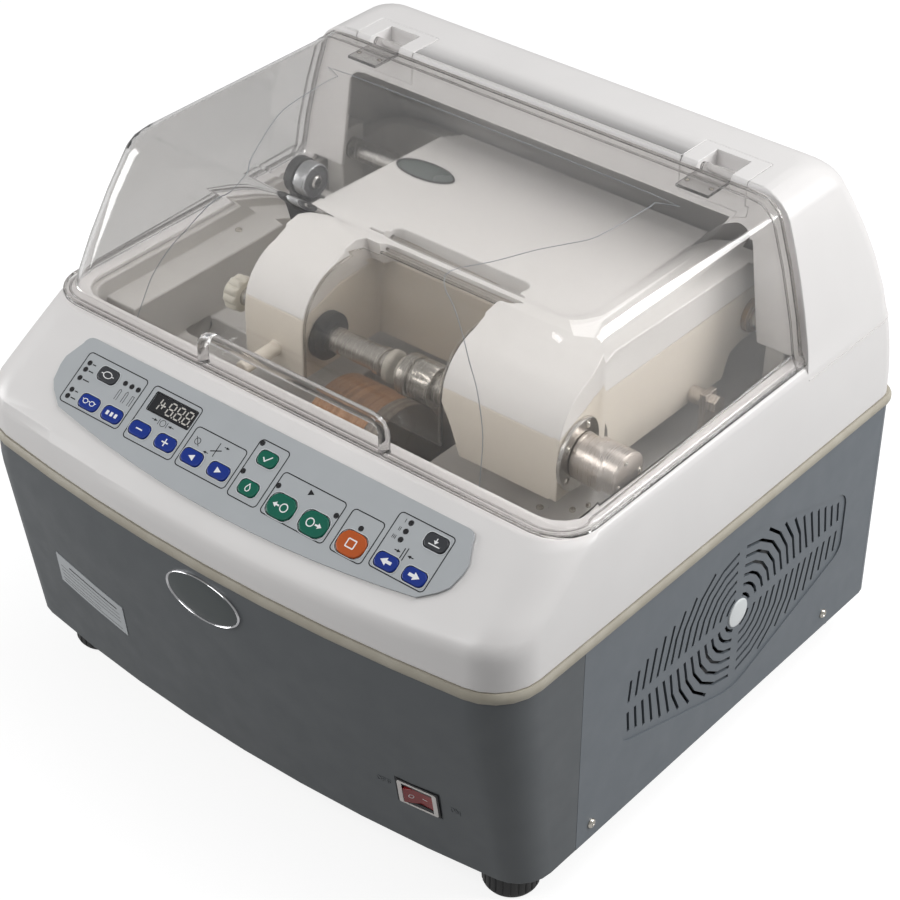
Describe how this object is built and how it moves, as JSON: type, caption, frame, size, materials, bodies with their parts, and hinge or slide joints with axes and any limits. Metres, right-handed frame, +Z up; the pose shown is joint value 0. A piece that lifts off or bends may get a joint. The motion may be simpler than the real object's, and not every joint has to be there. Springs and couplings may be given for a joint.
{
  "type": "lens grinding machine",
  "caption": "Benchtop optical lens edger: a clear hinged lid over a wet grinding chamber with a tilting lens carriage, diamond wheels and a sloping keypad.",
  "frame": {"origin": "middle of the whole machine's footprint, on the plane that its feet stand on", "axes": "+X to the right of a person at the control panel, +Y towards the hood at the rear, +Z up"},
  "size_m": [0.546, 0.538, 0.471],
  "materials": {
    "white_shell": "semi-gloss moulded",
    "white_cover": "semi-gloss moulded",
    "grey_casing": "fine textured satin",
    "khaki_rubber": "matt",
    "panel_film": "satin film",
    "display_window": "gloss",
    "dark_key": "satin",
    "blue_key": "satin",
    "green_key": "satin",
    "orange_key": "satin",
    "clear_lid": "clear polished",
    "clear_guard": "clear polished",
    "chamber_grey": "satin",
    "cream_body": "satin",
    "satin_steel": "brushed",
    "bright_steel": "ground and polished",
    "zinc_steel": "zinc plated",
    "bronze_sleeve": "reamed",
    "copper_bond": "diamond grit in copper bond",
    "grey_bond": "fine diamond grit",
    "dark_motor": "satin paint",
    "pulley_alloy": "turned",
    "belt_rubber": "matt",
    "black_rubber": "matt ribbed",
    "black_plastic": "satin",
    "dark_roller": "satin",
    "red_rocker": "translucent gloss",
    "circuit_board": "solder mask",
    "iron_core": "varnished laminations"
  },
  "bodies": {
    "housing": {"base_plate": "zinc_steel", "front_fascia": "grey_casing", "side_panel_right": "grey_casing", "side_panel_left": "grey_casing", "rear_panel": "grey_casing", "power_inlet": "black_plastic", "foot_front_right": "black_rubber", "foot_front_left": "black_rubber", "foot_rear_right": "black_rubber", "foot_rear_left": "black_rubber", "gasket_band": "khaki_rubber", "top_shell": "white_shell", "chamber_tub": "chamber_grey", "control_panel": "panel_film", "display_window": "display_window", "hinge_base_left": "white_shell", "hinge_base_right": "white_shell", "carriage_shaft": "bright_steel", "drive_motor": "dark_motor", "drive_belt": "belt_rubber", "switch_frame": "black_plastic", "cooling_fan": "black_plastic", "control_board": "circuit_board", "transformer": "iron_core"},
    "lid": {"lid": "clear_lid", "hinge_leaf_left": "clear_lid", "hinge_leaf_right": "clear_lid"},
    "carriage_slide": {"carriage_sleeve": "bronze_sleeve"},
    "carriage": {"carriage_body": "cream_body", "carriage_cover": "white_cover", "chuck_flange": "satin_steel", "chuck_motor": "satin_steel", "roller_bracket": "black_plastic"},
    "splash_guard": {"lens_guard": "clear_guard"},
    "left_lens_shaft": {"lens_shaft_left": "satin_steel"},
    "quill": {"chuck_quill": "bright_steel"},
    "right_lens_cup": {"lens_cup": "satin_steel"},
    "roller": {"guide_roller": "dark_roller"},
    "lever": {"lift_lever": "satin_steel"},
    "wheel_set": {"rough_wheel": "copper_bond", "finish_wheel": "grey_bond", "wheel_spindle": "bright_steel"},
    "drive_pulley": {"motor_pulley": "pulley_alloy"},
    "fan": {"fan_rotor": "black_plastic"},
    "rocker": {"switch_rocker": "red_rocker"},
    "lens_button": {"lens_key": "dark_key"},
    "frame_button": {"frame_key": "blue_key"},
    "mode_button": {"mode_key": "blue_key"},
    "minus_button": {"minus_key": "blue_key"},
    "plus_button": {"plus_key": "blue_key"},
    "left_button": {"left_key": "blue_key"},
    "right_button": {"right_key": "blue_key"},
    "test_button": {"test_key": "green_key"},
    "valve_button": {"valve_key": "green_key"},
    "start_left_button": {"start_left_key": "green_key"},
    "start_right_button": {"start_right_key": "green_key"},
    "stop_button": {"stop_key": "orange_key"},
    "press_button": {"press_key": "dark_key"},
    "chuck_open_button": {"chuck_open_key": "blue_key"},
    "chuck_close_button": {"chuck_close_key": "blue_key"}
  },
  "joints": [
    {"name": "lid_hinge", "type": "hinge", "parent": "housing", "child": "lid", "pos_m": [0, 0.138, 0.465], "axis": [-1, 0, 0], "range_deg": [0, 100]},
    {"name": "carriage_traverse", "type": "slide", "parent": "housing", "child": "carriage_slide", "axis": [1, 0, 0], "range_m": [-0.05, 0]},
    {"name": "carriage_tilt", "type": "hinge", "parent": "carriage_slide", "child": "carriage", "pos_m": [0, 0.15, 0.345], "axis": [-1, 0, 0], "range_deg": [-2.5, 12]},
    {"name": "guard_flip", "type": "hinge", "parent": "carriage", "child": "splash_guard", "pos_m": [0, -0.008, 0.391], "axis": [-1, 0, 0], "range_deg": [0, 42]},
    {"name": "left_lens_shaft_spin", "type": "hinge", "parent": "carriage", "child": "left_lens_shaft", "pos_m": [0, -0.071, 0.334], "axis": [1, 0, 0], "continuous": true},
    {"name": "quill_slide", "type": "slide", "parent": "carriage", "child": "quill", "axis": [1, 0, 0], "range_m": [-0.0055, 0.02]},
    {"name": "right_lens_cup_spin", "type": "hinge", "parent": "quill", "child": "right_lens_cup", "pos_m": [0, -0.071, 0.334], "axis": [1, 0, 0], "continuous": true},
    {"name": "roller_spin", "type": "hinge", "parent": "carriage", "child": "roller", "pos_m": [0, -0.002, 0.411], "axis": [1, 0, 0], "continuous": true},
    {"name": "lever_swing", "type": "hinge", "parent": "carriage", "child": "lever", "pos_m": [0.2, 0.073, 0.311], "axis": [1, 0, 0], "range_deg": [-15, 15]},
    {"name": "wheel_spin", "type": "hinge", "parent": "housing", "child": "wheel_set", "pos_m": [0, -0.071, 0.245], "axis": [1, 0, 0], "continuous": true},
    {"name": "drive_pulley_spin", "type": "hinge", "parent": "housing", "child": "drive_pulley", "pos_m": [-0.13, 0.062, 0.13], "axis": [1, 0, 0], "continuous": true},
    {"name": "fan_spin", "type": "hinge", "parent": "housing", "child": "fan", "pos_m": [0.25, 0.051, 0.145], "axis": [1, 0, 0], "continuous": true},
    {"name": "power_switch", "type": "hinge", "parent": "housing", "child": "rocker", "pos_m": [0.18208, -0.22882, 0.10535], "axis": [0.0258, -0.1915, 0.9811], "range_deg": [-14, 0]},
    {"name": "lens_key_press", "type": "slide", "parent": "housing", "child": "lens_button", "axis": [0, 0.5563, -0.831], "range_m": [0, 0.0005], "stiffness_N_per_m": 400},
    {"name": "frame_key_press", "type": "slide", "parent": "housing", "child": "frame_button", "axis": [0, 0.5563, -0.831], "range_m": [0, 0.0005], "stiffness_N_per_m": 400},
    {"name": "mode_key_press", "type": "slide", "parent": "housing", "child": "mode_button", "axis": [0, 0.5563, -0.831], "range_m": [0, 0.0005], "stiffness_N_per_m": 400},
    {"name": "minus_key_press", "type": "slide", "parent": "housing", "child": "minus_button", "axis": [0, 0.5563, -0.831], "range_m": [0, 0.0005], "stiffness_N_per_m": 400},
    {"name": "plus_key_press", "type": "slide", "parent": "housing", "child": "plus_button", "axis": [0, 0.5563, -0.831], "range_m": [0, 0.0005], "stiffness_N_per_m": 400},
    {"name": "left_key_press", "type": "slide", "parent": "housing", "child": "left_button", "axis": [0, 0.5563, -0.831], "range_m": [0, 0.0005], "stiffness_N_per_m": 400},
    {"name": "right_key_press", "type": "slide", "parent": "housing", "child": "right_button", "axis": [0, 0.5563, -0.831], "range_m": [0, 0.0005], "stiffness_N_per_m": 400},
    {"name": "test_key_press", "type": "slide", "parent": "housing", "child": "test_button", "axis": [0, 0.5563, -0.831], "range_m": [0, 0.0005], "stiffness_N_per_m": 400},
    {"name": "valve_key_press", "type": "slide", "parent": "housing", "child": "valve_button", "axis": [0, 0.5563, -0.831], "range_m": [0, 0.0005], "stiffness_N_per_m": 400},
    {"name": "start_left_key_press", "type": "slide", "parent": "housing", "child": "start_left_button", "axis": [0, 0.5563, -0.831], "range_m": [0, 0.0005], "stiffness_N_per_m": 400},
    {"name": "start_right_key_press", "type": "slide", "parent": "housing", "child": "start_right_button", "axis": [0, 0.5563, -0.831], "range_m": [0, 0.0005], "stiffness_N_per_m": 400},
    {"name": "stop_key_press", "type": "slide", "parent": "housing", "child": "stop_button", "axis": [0, 0.5563, -0.831], "range_m": [0, 0.0005], "stiffness_N_per_m": 400},
    {"name": "press_key_press", "type": "slide", "parent": "housing", "child": "press_button", "axis": [0, 0.5563, -0.831], "range_m": [0, 0.0005], "stiffness_N_per_m": 400},
    {"name": "chuck_open_key_press", "type": "slide", "parent": "housing", "child": "chuck_open_button", "axis": [0, 0.5563, -0.831], "range_m": [0, 0.0005], "stiffness_N_per_m": 400},
    {"name": "chuck_close_key_press", "type": "slide", "parent": "housing", "child": "chuck_close_button", "axis": [0, 0.5563, -0.831], "range_m": [0, 0.0005], "stiffness_N_per_m": 400}
  ],
  "couplings": [
    {"joint": "right_lens_cup_spin", "follows": "left_lens_shaft_spin", "ratio": 1},
    {"joint": "drive_pulley_spin", "follows": "wheel_spin", "ratio": 0.625}
  ]
}
